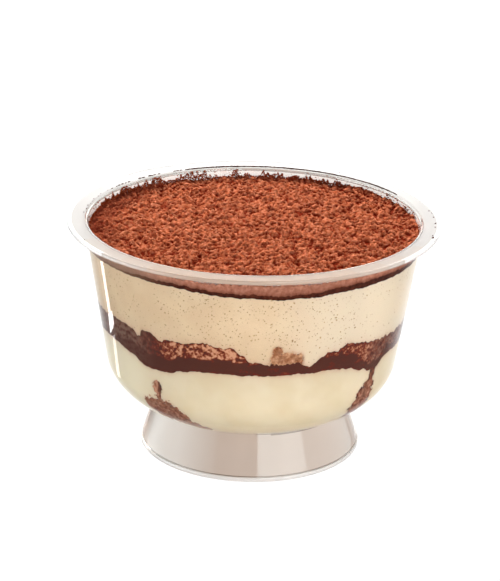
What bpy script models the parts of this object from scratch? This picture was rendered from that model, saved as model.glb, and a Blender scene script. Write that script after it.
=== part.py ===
"""A layered tiramisu in a clear footed dessert cup.

Metres, +Z up. The origin is under the middle of the foot, on the surface that the cup stands on,
and the front of the cup looks along -Y. Azimuths are counted from the front, towards +X.
"""

import math

import bmesh
import bpy
from mathutils import noise, Vector

MM = 0.001

# The cup, one moulding of clear plastic.
CUP_HEIGHT = 61.0 * MM
RIM_RADIUS = 47.5 * MM
RIM_THICKNESS = 0.85 * MM
RIM_BEAD = 0.3 * MM  # how far the bead round the edge stands above the flat of the rim
RIM_BEAD_WIDTH = 1.0 * MM
WALL = 1.0 * MM
BOWL_TOP_RADIUS = 43.1 * MM  # outside of the wall, carried up to the top of the rim
BOWL_TAPER = 0.155  # radius lost for each unit of height on the way down
TURN_HEIGHT = 24.0 * MM  # the straight wall starts to turn in here
FLOOR_HEIGHT = 10.5 * MM  # underside of the bowl's floor
TURN_WIDTH = 18.7 * MM  # how far the quarter ellipse reaches in, down to the floor
FOOT_RADIUS = 28.5 * MM
FOOT_LIP = 0.4 * MM  # how far the lip stands out from the skirt
FOOT_LIP_HEIGHT = 1.2 * MM
SKIRT_TOP_RADIUS = 24.7 * MM
MOUTH_ROUND = 0.8 * MM
EDGE_ROUND = 0.35 * MM

# The fillings. Heights are where each boundary meets the wall, before its dips and swells.
GAP = 0.3 * MM  # between touching pieces
SPONGE_BOTTOM = 33.0 * MM
SPONGE_TOP = 39.8 * MM
DAMP_BOTTOM = 54.4 * MM
DAMP_THICKNESS = 1.1 * MM
COCOA_TOP = 58.0 * MM
COCOA_CROWN = 0.5 * MM  # how much higher the middle of the cocoa stands
COCOA_RELIEF = 0.35 * MM
UNEVENNESS = 0.35 * MM
LUMP_SIZE = 9.0 * MM  # spacing of the soft bumps in a spooned layer
DRIFT_SIZE = 8.0 * MM  # spacing of the drifts in the sieved cocoa

# Dips and swells of a boundary at the wall: azimuth and half width in degrees, and height.
SPONGE_TOP_SWELLS = (
    (12.0, 17.0, -4.1 * MM),
    (88.0, 40.0, -3.4 * MM),
    (-165.0, 26.0, -1.8 * MM),
    (-108.0, 18.0, -0.9 * MM),
)
SPONGE_BOTTOM_SWELLS = (
    (-37.0, 11.0, -2.6 * MM),
    (53.0, 8.0, -1.4 * MM),
    (72.0, 31.0, -2.5 * MM),
    (-140.0, 22.0, -1.9 * MM),
)
DAMP_SWELLS = (
    (-45.0, 28.0, 0.8 * MM),
    (14.0, 14.0, -0.4 * MM),
    (130.0, 34.0, 0.5 * MM),
)

# Bits of sponge in the creams, against the wall. Each blob is an egg shape given by its azimuth
# in degrees, its height, its half width along the wall, half height and half depth, and its lean
# in degrees.
STREAK_BLOBS = (
    (54.2, 27.0 * MM, 1.1 * MM, 3.9 * MM, 1.5 * MM, 0.0),
    (54.0, 22.8 * MM, 2.3 * MM, 3.2 * MM, 2.2 * MM, 4.0),
    (53.0, 18.8 * MM, 4.6 * MM, 3.5 * MM, 3.0 * MM, 8.0),
)
SCRAP_BLOBS = (
    (-40.5, 19.8 * MM, 4.4 * MM, 3.0 * MM, 2.8 * MM, -8.0),
    (-38.7, 24.2 * MM, 1.2 * MM, 2.8 * MM, 1.5 * MM, -6.0),
    (-34.5, 17.6 * MM, 4.2 * MM, 3.6 * MM, 3.0 * MM, -20.0),
    (-29.0, 14.8 * MM, 2.8 * MM, 2.0 * MM, 2.6 * MM, -30.0),
)
CRUMB_BLOBS = (
    (13.5, 36.2 * MM, 4.4 * MM, 2.6 * MM, 2.8 * MM, 0.0),
    (9.0, 38.2 * MM, 1.6 * MM, 2.8 * MM, 1.8 * MM, 4.0),
)
BLOB_SINK = 0.45  # how much of its depth each blob keeps behind the wall's face

SEGMENTS = 60  # the same all round for every layer, so that the faces of two neighbours match
RINGS = 2  # on both faces of every boundary between layers
TOP_RINGS = 5  # on the cocoa, which shows


def clear_scene():
    for thing in list(bpy.data.objects):
        bpy.data.objects.remove(thing, do_unlink=True)


def new_collection(name):
    collection = bpy.data.collections.new(name)
    bpy.context.scene.collection.children.link(collection)
    return collection


def material(name, colour, roughness, transmission=0.0):
    made = bpy.data.materials.new(name)
    made.use_nodes = True
    shader = made.node_tree.nodes["Principled BSDF"]
    shader.inputs["Base Color"].default_value = (*colour, 1.0)
    shader.inputs["Roughness"].default_value = roughness
    shader.inputs["Metallic"].default_value = 0.0
    shader.inputs["Transmission Weight"].default_value = transmission
    return made


def bowl_radius(z, inset=0.0):
    """Radius at height z of the bowl's outside, or of the surface that lies inset within it."""
    straight = BOWL_TOP_RADIUS - inset - BOWL_TAPER * (CUP_HEIGHT - z)
    drop = (TURN_HEIGHT - z) / (TURN_HEIGHT - FLOOR_HEIGHT - inset)
    if drop <= 0.0:
        return straight
    return straight - (TURN_WIDTH - inset) * (1.0 - math.sqrt(max(0.0, 1.0 - drop * drop)))


def bowl_curve(inset, low, steps):
    """(radius, height) points of the turn from the wall to the floor, from the top down."""
    depth = TURN_HEIGHT - FLOOR_HEIGHT - inset
    end = math.asin(min(1.0, (TURN_HEIGHT - low) / depth))
    heights = [TURN_HEIGHT - depth * math.sin(end * i / steps) for i in range(steps + 1)]
    return [(bowl_radius(z, inset), z) for z in heights]


def height_on_bowl(radius):
    """Height at which the outside of the bowl's turn has this radius."""
    low, high = FLOOR_HEIGHT, TURN_HEIGHT
    for _ in range(40):
        middle = (low + high) / 2
        if bowl_radius(middle) < radius:
            low = middle
        else:
            high = middle
    return high


def arc(centre_r, centre_z, radius, start, end, steps):
    """Points of a round from one angle to another, in degrees from the +radius direction."""
    angles = [math.radians(start + (end - start) * i / steps) for i in range(steps + 1)]
    return [(centre_r + radius * math.cos(a), centre_z + radius * math.sin(a)) for a in angles]


def cup_profile():
    """The cup's section, from the middle of the inside floor over the rim and down the outside."""
    rim_flat = CUP_HEIGHT - RIM_BEAD
    mouth_r = bowl_radius(rim_flat, WALL) + MOUTH_ROUND
    mouth_z = rim_flat - MOUTH_ROUND
    edge_r = RIM_RADIUS - EDGE_ROUND
    rim_under = rim_flat - RIM_THICKNESS
    under_r = bowl_radius(rim_under) + MOUTH_ROUND
    skirt_z = height_on_bowl(SKIRT_TOP_RADIUS)
    skirt_foot_r = FOOT_RADIUS - FOOT_LIP
    skirt_inner_r = SKIRT_TOP_RADIUS - WALL
    lip_r = FOOT_RADIUS - EDGE_ROUND
    return (
        [(0.0, FLOOR_HEIGHT + WALL)]
        + bowl_curve(WALL, FLOOR_HEIGHT + WALL, 5)[::-1]
        + arc(mouth_r, mouth_z, MOUTH_ROUND, 180, 90, 2)
        + [(RIM_RADIUS - RIM_BEAD_WIDTH, rim_flat)]
        + arc(edge_r, CUP_HEIGHT - EDGE_ROUND, EDGE_ROUND, 120, 0, 3)
        + arc(edge_r, rim_under + EDGE_ROUND, EDGE_ROUND, 0, -90, 1)
        + arc(under_r, rim_under - MOUTH_ROUND, MOUTH_ROUND, 90, 180, 2)
        + bowl_curve(0.0, skirt_z, 5)
        + [(skirt_foot_r, FOOT_LIP_HEIGHT)]
        + arc(lip_r, FOOT_LIP_HEIGHT - EDGE_ROUND, EDGE_ROUND, 60, 0, 1)
        + [(FOOT_RADIUS, EDGE_ROUND), (lip_r, 0.0)]
        + [(skirt_foot_r - WALL, 0.0)]
        + [(skirt_inner_r, height_on_bowl(skirt_inner_r))]
        + [(bowl_radius(FLOOR_HEIGHT), FLOOR_HEIGHT), (0.0, FLOOR_HEIGHT)]
    )


def turned(name, profile, finish, collection):
    """A solid of revolution about Z, from a section whose two ends lie on the axis."""
    mesh = bpy.data.meshes.new(name)
    points = [(r, 0.0, z) for r, z in profile]
    mesh.from_pydata(points, [(i, i + 1) for i in range(len(points) - 1)], [])
    solid = bpy.data.objects.new(name, mesh)
    collection.objects.link(solid)
    screw = solid.modifiers.new("Turn", "SCREW")
    screw.axis = "Z"
    screw.steps = screw.render_steps = SEGMENTS
    screw.use_merge_vertices = True
    screw.merge_threshold = 0.0001 * MM
    screw.use_smooth_shade = True
    mesh.materials.append(finish)
    return solid


def swell(azimuth, swells):
    """Height that the dips and swells add at this azimuth, in degrees."""
    total = 0.0
    for at, spread, height in swells:
        away = (azimuth - at + 180.0) % 360.0 - 180.0
        total += height * math.exp(-((away / spread) ** 4))
    return total


def spooned(base, swells, seed):
    """A boundary between spooned layers, as a function of a place in plan."""

    def height(x, y):
        share = min(1.0, math.hypot(x, y) / bowl_radius(base, WALL))
        azimuth = math.degrees(math.atan2(x, -y))
        bumps = noise.noise(Vector((x / LUMP_SIZE, y / LUMP_SIZE, seed)))
        return base + swell(azimuth, swells) * share**4 + UNEVENNESS * bumps

    return height


def sieved(x, y):
    """The top of the cocoa: a low crown with drifts."""
    share = min(1.0, math.hypot(x, y) / bowl_radius(COCOA_TOP, WALL))
    drifts = noise.fractal(Vector((x / DRIFT_SIZE, y / DRIFT_SIZE, 7.0)), 1.0, 2.0, 2)
    return COCOA_TOP + COCOA_CROWN * (1.0 - share * share) + COCOA_RELIEF * drifts


def raised(surface, by):
    """The same boundary, moved up."""
    return lambda x, y: surface(x, y) + by


def cup_floor(x, y):
    """The fillings' lowest surface, just clear of the cup's floor."""
    return FLOOR_HEIGHT + WALL + GAP


def drum(levels, lower_rings, upper_rings):
    """A unit drum on its axis, split into levels, with rings on both ends."""
    shape = bmesh.new()
    bmesh.ops.create_cone(
        shape, cap_ends=True, segments=SEGMENTS, radius1=1.0, radius2=1.0, depth=1.0
    )
    for level in range(1, levels):
        bmesh.ops.bisect_plane(
            shape,
            geom=shape.verts[:] + shape.edges[:] + shape.faces[:],
            plane_co=(0.0, 0.0, level / levels - 0.5),
            plane_no=(0.0, 0.0, 1.0),
        )
    for side, rings in ((-1.0, lower_rings), (1.0, upper_rings)):
        shape.faces.ensure_lookup_table()
        end = next(f for f in shape.faces if f.normal.z * side > 0.9)
        for _ in range(rings):
            bmesh.ops.inset_region(
                shape, faces=[end], thickness=1.0 / (rings + 1), use_even_offset=True
            )
        bmesh.ops.poke(shape, faces=[end])
    return shape


def layer(name, lower, upper, shape, finish, collection):
    """A filling between two uneven surfaces, out to just inside the cup's wall."""
    inset = WALL + GAP
    for point in shape.verts:
        share = math.hypot(point.co.x, point.co.y)
        level = point.co.z + 0.5
        way = Vector((point.co.x, point.co.y)) / share if share > 1e-6 else Vector((0.0, 0.0))
        radius = bowl_radius(SPONGE_TOP, inset) * share
        for _ in range(8):  # the wall's radius depends on the height, and the height on the place
            x, y = way * radius
            z = lower(x, y) * (1.0 - level) + upper(x, y) * level
            radius = bowl_radius(z, inset) * share
        point.co = (way.x * radius, way.y * radius, z)
    mesh = bpy.data.meshes.new(name)
    bmesh.ops.triangulate(shape, faces=shape.faces[:])
    shape.to_mesh(mesh)
    shape.free()
    mesh.shade_smooth()
    mesh.set_sharp_from_angle(angle=math.radians(40.0))
    mesh.materials.append(finish)
    solid = bpy.data.objects.new(name, mesh)
    collection.objects.link(solid)
    return solid


def egg(name, blob, grow, collection):
    """One egg-shaped blob against the wall, grown by a margin."""
    azimuth, z, half_width, half_height, half_depth, lean = blob
    turn = math.radians(azimuth)
    reach = bowl_radius(z, WALL + GAP) - half_depth * BLOB_SINK
    bpy.ops.mesh.primitive_uv_sphere_add(segments=10, ring_count=7, radius=1.0)
    made = bpy.context.object
    made.name = made.data.name = name
    made.scale = (half_width + grow, half_depth + grow, half_height + grow)
    bpy.ops.object.transform_apply(location=False, rotation=False, scale=True)
    made.rotation_euler = (0.0, math.radians(lean), turn)
    made.location = (reach * math.sin(turn), -reach * math.cos(turn), z)
    for old in list(made.users_collection):
        old.objects.unlink(made)
    collection.objects.link(made)
    return made


def combine(solid, other, operation):
    """Adds an exact Boolean step to a solid; the other solid becomes a helper."""
    step = solid.modifiers.new(operation.title(), "BOOLEAN")
    step.operation = operation
    step.solver = "EXACT"
    step.object = other
    other.hide_render = True
    other.display_type = "WIRE"


def bit_in_cream(name, blobs, cream, finish, parts, cutters):
    """A bit of sponge set into a cream at the wall, with its pocket in the cream."""
    bit = egg(name, blobs[0], 0.0, parts)
    bit.data.materials.append(finish)
    bit.data.shade_smooth()
    for number, blob in enumerate(blobs[1:], 2):
        combine(bit, egg(f"{name}_egg_{number}", blob, 0.0, cutters), "UNION")
    whole_cream = cream.copy()
    whole_cream.data = cream.data.copy()
    whole_cream.name = whole_cream.data.name = f"{name}_limits"
    whole_cream.modifiers.clear()
    cutters.objects.link(whole_cream)
    combine(bit, whole_cream, "INTERSECT")
    for number, blob in enumerate(blobs, 1):
        combine(cream, egg(f"{name}_pocket_{number}", blob, GAP, cutters), "DIFFERENCE")


def build():
    clear_scene()
    parts = new_collection("tiramisu_cup")
    cutters = new_collection("cutters")

    clear_plastic = material("clear_plastic", (0.93, 0.93, 0.91), 0.06, transmission=1.0)
    plain_cream = material("plain_cream", (0.86, 0.74, 0.52), 0.45)
    vanilla_cream = material("vanilla_cream", (0.87, 0.70, 0.47), 0.45)
    soaked_sponge = material("soaked_sponge", (0.075, 0.022, 0.014), 0.5)
    loose_sponge = material("loose_sponge", (0.22, 0.075, 0.035), 0.75)
    dry_sponge = material("dry_sponge", (0.50, 0.27, 0.13), 0.85)
    damp_cocoa = material("damp_cocoa", (0.11, 0.035, 0.02), 0.6)
    dry_cocoa = material("dry_cocoa", (0.36, 0.11, 0.05), 0.95)

    turned("cup", cup_profile(), clear_plastic, parts)

    sponge_under = spooned(SPONGE_BOTTOM, SPONGE_BOTTOM_SWELLS, 1.5)
    sponge_over = spooned(SPONGE_TOP, SPONGE_TOP_SWELLS, 3.5)
    damp_under = spooned(DAMP_BOTTOM, DAMP_SWELLS, 5.5)
    damp_over = raised(damp_under, DAMP_THICKNESS)

    cream_lower = layer(
        "cream_lower", cup_floor, raised(sponge_under, -GAP), drum(4, 1, RINGS), plain_cream, parts
    )
    layer("sponge", sponge_under, sponge_over, drum(1, RINGS, RINGS), soaked_sponge, parts)
    cream_upper = layer(
        "cream_upper", raised(sponge_over, GAP), raised(damp_under, -GAP),
        drum(2, RINGS, RINGS), vanilla_cream, parts,
    )
    layer("cocoa_damp", damp_under, damp_over, drum(1, RINGS, RINGS), damp_cocoa, parts)
    layer(
        "cocoa_dust", raised(damp_over, GAP), sieved, drum(1, RINGS, TOP_RINGS), dry_cocoa, parts
    )
    bit_in_cream("sponge_streak", STREAK_BLOBS, cream_lower, loose_sponge, parts, cutters)
    bit_in_cream("sponge_scrap", SCRAP_BLOBS, cream_lower, loose_sponge, parts, cutters)
    bit_in_cream("sponge_crumb", CRUMB_BLOBS, cream_upper, dry_sponge, parts, cutters)


build()
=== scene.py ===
import math
import random

import bpy
import numpy as np
from mathutils import Euler, Matrix, Vector, noise


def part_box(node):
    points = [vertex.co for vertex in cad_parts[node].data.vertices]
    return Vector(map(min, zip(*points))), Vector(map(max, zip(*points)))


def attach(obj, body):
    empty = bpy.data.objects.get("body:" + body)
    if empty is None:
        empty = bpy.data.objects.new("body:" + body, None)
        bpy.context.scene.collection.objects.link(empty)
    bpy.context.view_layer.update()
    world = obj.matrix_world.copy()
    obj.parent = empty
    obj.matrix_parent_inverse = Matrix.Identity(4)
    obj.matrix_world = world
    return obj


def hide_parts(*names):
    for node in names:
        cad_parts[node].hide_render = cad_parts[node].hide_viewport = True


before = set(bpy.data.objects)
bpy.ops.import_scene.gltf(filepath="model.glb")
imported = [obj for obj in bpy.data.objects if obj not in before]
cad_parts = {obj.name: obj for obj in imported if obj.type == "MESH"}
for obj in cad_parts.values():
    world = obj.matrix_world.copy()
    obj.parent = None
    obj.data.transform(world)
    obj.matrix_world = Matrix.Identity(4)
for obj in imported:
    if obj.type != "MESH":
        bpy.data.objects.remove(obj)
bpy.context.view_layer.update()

_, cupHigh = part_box("cup")
mm = 0.001
rng = random.Random(17)


# ---- small helpers

def go(mode):
    bpy.ops.object.mode_set(mode=mode)


def pickNothing():
    if bpy.context.object and bpy.context.object.mode != "OBJECT":
        go("OBJECT")
    bpy.ops.object.select_all(action="DESELECT")


def pick(piece):
    pickNothing()
    piece.select_set(True)
    bpy.context.view_layer.objects.active = piece


def named(piece, name):
    piece.name = piece.data.name = name
    return piece


def applyAll(piece):
    pick(piece)
    for step in list(piece.modifiers):
        bpy.ops.object.modifier_apply(modifier=step.name)


def smooth(piece, angle=40):
    pick(piece)
    bpy.ops.object.shade_smooth_by_angle(angle=math.radians(angle))


def faceOutwards(piece):
    pick(piece)
    go("EDIT")
    bpy.ops.mesh.select_all(action="SELECT")
    bpy.ops.mesh.normals_make_consistent(inside=False)
    go("OBJECT")


def finishPiece(piece, looks, slotName, *nodes):
    piece.data.materials.clear()
    for look in looks:
        piece.data.materials.append(look)
    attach(piece, "root")
    if nodes:
        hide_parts(*nodes)
    return piece


def easeIn(low, high, value):
    share = min(1, max(0, (value - low) / (high - low)))
    return share * share * (3 - 2 * share)


def azimuthOf(x, y):
    return math.degrees(math.atan2(x, -y))  # 0 in front, + to the right


def atTurn(azimuth, radius, z):
    turn = math.radians(azimuth)
    return radius * math.sin(turn), -radius * math.cos(turn), z


def turnApart(a, b):
    return (a - b + 180) % 360 - 180


def nearTo(azimuth, at, wide):
    return math.exp(-((turnApart(azimuth, at) / wide) ** 4))


def swellAt(azimuth, swells):
    # each swell: azimuth and half width in degrees, and height in mm
    return sum(h * mm * math.exp(-((turnApart(azimuth, at) / wide) ** 6)) for at, wide, h in swells)


def rough(x, y, z, size, seed=0):
    # soft noise from -1 to 1 with bumps of about this size
    return noise.noise(Vector((x / size + seed * 7.3, y / size, z / size + seed * 3.1)))


def tone(red, green, blue):
    # a screen colour, 0 to 255, as the linear one that a shader takes
    return [((c / 255 + 0.055) / 1.055) ** 2.4 for c in (red, green, blue)]


# ---- shader helpers

def newLook(name, colour, roughness, **inputs):
    look = bpy.data.materials.new(name)
    look.use_nodes = True
    tree = look.node_tree
    shader = tree.nodes["Principled BSDF"]
    inputs.update(Base_Color=(*colour, 1), Roughness=roughness)
    for key, value in inputs.items():
        shader.inputs[key.replace("_", " ")].default_value = value
    return look, tree, shader


def addNode(tree, kind, **values):
    node = tree.nodes.new("ShaderNode" + kind)
    for key, value in values.items():
        if hasattr(node, key):
            setattr(node, key, value)
        else:
            node.inputs[key.replace("_", " ")].default_value = value
    return node


def objectPlace(tree):
    return addNode(tree, "TexCoord").outputs["Object"]


def speckle(tree, size, detail=3.0, place=None, **values):
    # a noise texture whose blobs have about this size
    node = addNode(tree, "TexNoise", Scale=1 / size, Detail=detail, **values)
    tree.links.new(place or objectPlace(tree), node.inputs["Vector"])
    return node.outputs["Fac"]


def ramp(tree, source, stops):
    node = addNode(tree, "ValToRGB")
    bar = node.color_ramp.elements
    while len(bar) < len(stops):
        bar.new(0.5)
    for stop, (at, colour) in zip(bar, stops):
        stop.position = at
        stop.color = (*colour, 1)
    tree.links.new(source, node.inputs["Fac"])
    return node.outputs["Color"]


def feed(tree, socket, value):
    # another node's output is linked, a number or a colour is set
    if isinstance(value, bpy.types.NodeSocket):
        tree.links.new(value, socket)
    else:
        socket.default_value = value if isinstance(value, (int, float)) else (*value, 1)


def blendColours(tree, share, first, second):
    node = addNode(tree, "Mix", data_type="RGBA")
    for number, value in ((0, share), (6, first), (7, second)):
        feed(tree, node.inputs[number], value)
    return node.outputs[2]


def addBump(tree, shader, height, depth, strength=0.6):
    node = addNode(tree, "Bump", Strength=strength, Distance=depth)
    tree.links.new(height, node.inputs["Height"])
    tree.links.new(node.outputs["Normal"], shader.inputs["Normal"])


def valueOf(tree, attribute):
    return addNode(tree, "Attribute", attribute_name=attribute).outputs["Fac"]


def paint(piece, attribute, values):
    layer = piece.data.attributes.new(attribute, "FLOAT", "POINT")
    layer.data.foreach_set("value", values)


# ---- the cup: one clear moulding, turned

cup = {
    "around": 256,
    "wall": 1.0 * mm,
    "mouthRadius": 43.1 * mm,  # outside of the wall, carried up to the top
    "taper": 0.155,
    "turnHeight": 24.0 * mm,
    "floorHeight": 10.5 * mm,
    "turnWidth": 18.7 * mm,
    "rimThick": 0.85 * mm,
    "bead": 0.3 * mm,
    "beadWidth": 1.0 * mm,
    "mouthRound": 0.8 * mm,
    "rimStep": 0.15 * mm,  # from a rounding to the next ring on the flat rim
    "hazeFrom": 57.4 * mm,  # above the food the inside of the wall is hazy
    "edgeRound": 0.35 * mm,
    "footRadius": 28.5 * mm,
    "footLip": 0.4 * mm,
    "footLipHeight": 1.2 * mm,
    "footShadeLine": 0.25 * mm,  # height of the dark line painted over the foot's lip, painted shade along its bottom edge
    "skirtTop": 24.7 * mm,
    "skirtStart": [(0.1 * mm, 0.35 * mm), (0.19 * mm, 0.65 * mm)],  # its first rings: how far out and down
    "poleRadius": 1.0 * mm,
}
rimRadius = cupHigh.x
cupTop = cupHigh.z


def wallRadius(z, inset=0):
    # outside of the bowl at this height, or the surface that lies inset within it
    straight = cup["mouthRadius"] - inset - cup["taper"] * (cupTop - z)
    drop = (cup["turnHeight"] - z) / (cup["turnHeight"] - cup["floorHeight"] - inset)
    if drop <= 0:
        return straight
    return straight - (cup["turnWidth"] - inset) * (1 - math.sqrt(max(0, 1 - drop * drop)))


def turnCurve(inset, low, steps):
    depth = cup["turnHeight"] - cup["floorHeight"] - inset
    end = math.asin(min(1, (cup["turnHeight"] - low) / depth))
    heights = [cup["turnHeight"] - depth * math.sin(end * i / steps) for i in range(steps + 1)]
    return [(wallRadius(z, inset), z) for z in heights]


def heightOnBowl(radius):
    low, high = cup["floorHeight"], cup["turnHeight"]
    for _ in range(40):
        middle = (low + high) / 2
        low, high = (middle, high) if wallRadius(middle) < radius else (low, middle)
    return high


def roundOff(r, z, radius, start, end, steps):
    angles = [math.radians(start + (end - start) * i / steps) for i in range(steps + 1)]
    return [(r + radius * math.cos(a), z + radius * math.sin(a)) for a in angles]


def straightRun(start, end, steps):
    return [
        (start[0] + (end[0] - start[0]) * i / steps, start[1] + (end[1] - start[1]) * i / steps)
        for i in range(1, steps)
    ]


def cupStations():
    # radius and height of each ring, from the inside floor over the rim and down to the foot
    wall, edge, mouth = cup["wall"], cup["edgeRound"], cup["mouthRound"]
    flat = cupTop - cup["bead"]
    rimUnder = flat - cup["rimThick"]
    skirtFoot = cup["footRadius"] - cup["footLip"]
    skirtInner = cup["skirtTop"] - wall
    floorTop = cup["floorHeight"] + wall
    inside = turnCurve(wall, floorTop, 28)[::-1]
    outside = turnCurve(0, heightOnBowl(cup["skirtTop"]), 24)
    shadeLineTop = cup["footLipHeight"] + cup["footShadeLine"]
    skirt = [(outside[-1][0] + out, outside[-1][1] - down) for out, down in cup["skirtStart"]]
    skirt += straightRun(outside[-1], (skirtFoot, shadeLineTop), 6)
    skirt.append((skirtFoot - 0.05 * mm, shadeLineTop))
    return (
        [(cup["poleRadius"], floorTop)]
        + inside
        + [(wallRadius(cup["hazeFrom"], wall), cup["hazeFrom"])]
        + roundOff(wallRadius(flat, wall) + mouth, flat - mouth, mouth, 180, 90, 7)
        + [(wallRadius(flat, wall) + mouth + cup["rimStep"], flat)]
        + [(rimRadius - cup["beadWidth"] - cup["rimStep"], flat)]
        + [(rimRadius - cup["beadWidth"], flat)]
        + roundOff(rimRadius - edge, cupTop - edge, edge, 125, 0, 7)
        + roundOff(rimRadius - edge, rimUnder + edge, edge, 0, -90, 5)
        + roundOff(wallRadius(rimUnder) + mouth, rimUnder - mouth, mouth, 90, 180, 6)
        + outside
        + skirt
        + [(skirtFoot, cup["footLipHeight"])]
        + roundOff(cup["footRadius"] - edge, cup["footLipHeight"] - edge, edge, 80, 0, 5)
        + roundOff(cup["footRadius"] - edge, edge, edge, 0, -90, 5)
        + [(skirtFoot - wall, 0)]
        + [(skirtInner, heightOnBowl(skirtInner))]
        + [(wallRadius(cup["floorHeight"]), cup["floorHeight"])]
        + [(cup["poleRadius"], cup["floorHeight"])]
    )


def turned(name, stations, around):
    # one ring, drawn out and scaled from station to station, with both ends filled
    pickNothing()
    radius, z = stations[0]
    bpy.ops.mesh.primitive_circle_add(vertices=around, radius=radius, location=(0, 0, z))
    bpy.ops.object.transform_apply(location=True, rotation=False, scale=False)
    piece = named(bpy.context.object, name)
    go("EDIT")
    bpy.ops.mesh.select_all(action="SELECT")
    bpy.ops.mesh.edge_face_add()
    bpy.ops.mesh.select_all(action="SELECT")
    bpy.ops.mesh.delete(type="ONLY_FACE")
    bpy.ops.mesh.select_all(action="SELECT")
    for (radius, z), (nextRadius, nextZ) in zip(stations, stations[1:]):
        bpy.ops.mesh.extrude_region_move(TRANSFORM_OT_translate={"value": (0, 0, nextZ - z)})
        grow = nextRadius / radius
        bpy.ops.transform.resize(value=(grow, grow, 1), center_override=(0, 0, nextZ))
    bpy.ops.mesh.edge_face_add()
    bpy.ops.mesh.select_all(action="DESELECT")
    bpy.ops.mesh.select_non_manifold()
    bpy.ops.mesh.edge_face_add()
    go("OBJECT")
    faceOutwards(piece)
    return piece


def plasticLook(name, colour, roughness, clearShare, tint):
    # clear moulding: lamps light the food straight through it
    look, tree, shader = newLook(name, colour, roughness, Transmission_Weight=clearShare, IOR=1.49)
    mix = addNode(tree, "MixShader")
    clear = addNode(tree, "BsdfTransparent", Color=(*tint, 1))
    tree.links.new(addNode(tree, "LightPath").outputs["Is Shadow Ray"], mix.inputs[0])
    tree.links.new(shader.outputs[0], mix.inputs[1])
    tree.links.new(clear.outputs[0], mix.inputs[2])
    tree.links.new(mix.outputs[0], tree.nodes["Material Output"].inputs["Surface"])
    addBump(tree, shader, speckle(tree, 14 * mm, 1), 0.06 * mm, 0.12)
    return look


shell = turned("cupShell", cupStations(), cup["around"])
rim = {
    "cool": (0.58, 0.557, 0.533),
    "warm": (0.58, 0.47, 0.385),
    "showThroughFrom": (64, 54, 44, 32),  # azimuths from which the rim is warmer towards the front, a painted tint that stands in for the cocoa band seen through it
    "paleEdge": (50, 1.1 * mm),  # azimuth from which the outer edge is pale, and its width
    # the dark line painted under the bowl, painted shade where it meets the skirt: azimuth, half width, how far
    # down the skirt
    "underShadeLines": [(38, 34, 0.25 * mm), (32, 20, 0.55 * mm)],
}
plastics = {
    "clear": plasticLook("clearPlastic", (0.96, 0.95, 0.93), 0.015, 1, (0.95, 0.95, 0.95)),
    "rim": plasticLook("milkyRim", rim["cool"], 0.08, 0.5, (0.85, 0.85, 0.85)),
    # milky plastic whose warm beige is painted: it stands in for the cream showing through the foot
    "foot": plasticLook("milkyFoot", (0.637, 0.527, 0.452), 0.09, 0.45, (0.8, 0.8, 0.8)),
    "haze": plasticLook("hazyWall", (0.70, 0.64, 0.585), 0.06, 0.7, (0.9, 0.9, 0.9)),
    "shadeLine": plasticLook("footShadeLine", (0.25, 0.19, 0.15), 0.12, 0.3, (0.8, 0.8, 0.8)),
    "pale": plasticLook("paleEdge", (0.95, 0.94, 0.93), 0.14, 0.5, (0.85, 0.85, 0.85)),
}
for step in range(1, len(rim["showThroughFrom"]) + 1):
    share = step / len(rim["showThroughFrom"])
    base = [cool + (warm - cool) * share for cool, warm in zip(rim["cool"], rim["warm"])]
    plastics[f"rim{step}"] = plasticLook(f"showThroughRim{step}", base, 0.08, 0.5, (0.85, 0.85, 0.85))
finishPiece(shell, plastics.values(), "clear_plastic", "cup")
rimInner = wallRadius(cupTop, cup["wall"]) + cup["mouthRound"]
footTop = heightOnBowl(cup["skirtTop"])
skirtFoot = cup["footRadius"] - cup["footLip"]


def plasticAt(x, y, height):
    # which of the plastics the cup shows at this place
    reach, azimuth = math.hypot(x, y), azimuthOf(x, y)
    overLip = height - cup["footLipHeight"]
    if reach > rimInner and height > cupTop - 2 * cup["mouthRound"]:
        if abs(azimuth) > rim["paleEdge"][0] and reach > rimRadius - rim["paleEdge"][1]:
            return "pale"
        warmer = sum(abs(azimuth) < at for at in rim["showThroughFrom"])
        return f"rim{warmer}" if warmer else "rim"
    if reach < wallRadius(height, 0.8 * cup["wall"]) and height > cup["hazeFrom"]:
        return "haze"
    # painted shade lines: along the foot's lip and under the bowl
    if 0 < overLip < cup["footShadeLine"] and reach > skirtFoot - 0.2 * mm:
        return "shadeLine"
    if overLip < 0 and reach > skirtFoot:
        return "pale"
    for at, wide, down in rim["underShadeLines"]:
        if 0 < footTop - height < down and abs(turnApart(azimuth, at)) < wide:
            return "shadeLine"
    return "foot" if height < footTop and reach > cup["skirtTop"] - cup["wall"] else "clear"


order = list(plastics)
for face in shell.data.polygons:
    face.material_index = order.index(plasticAt(*face.center))
smooth(shell, 50)
print("cup done:", len(shell.data.polygons), "faces")


# ---- where the layers meet the wall, and how they run through the food

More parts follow.
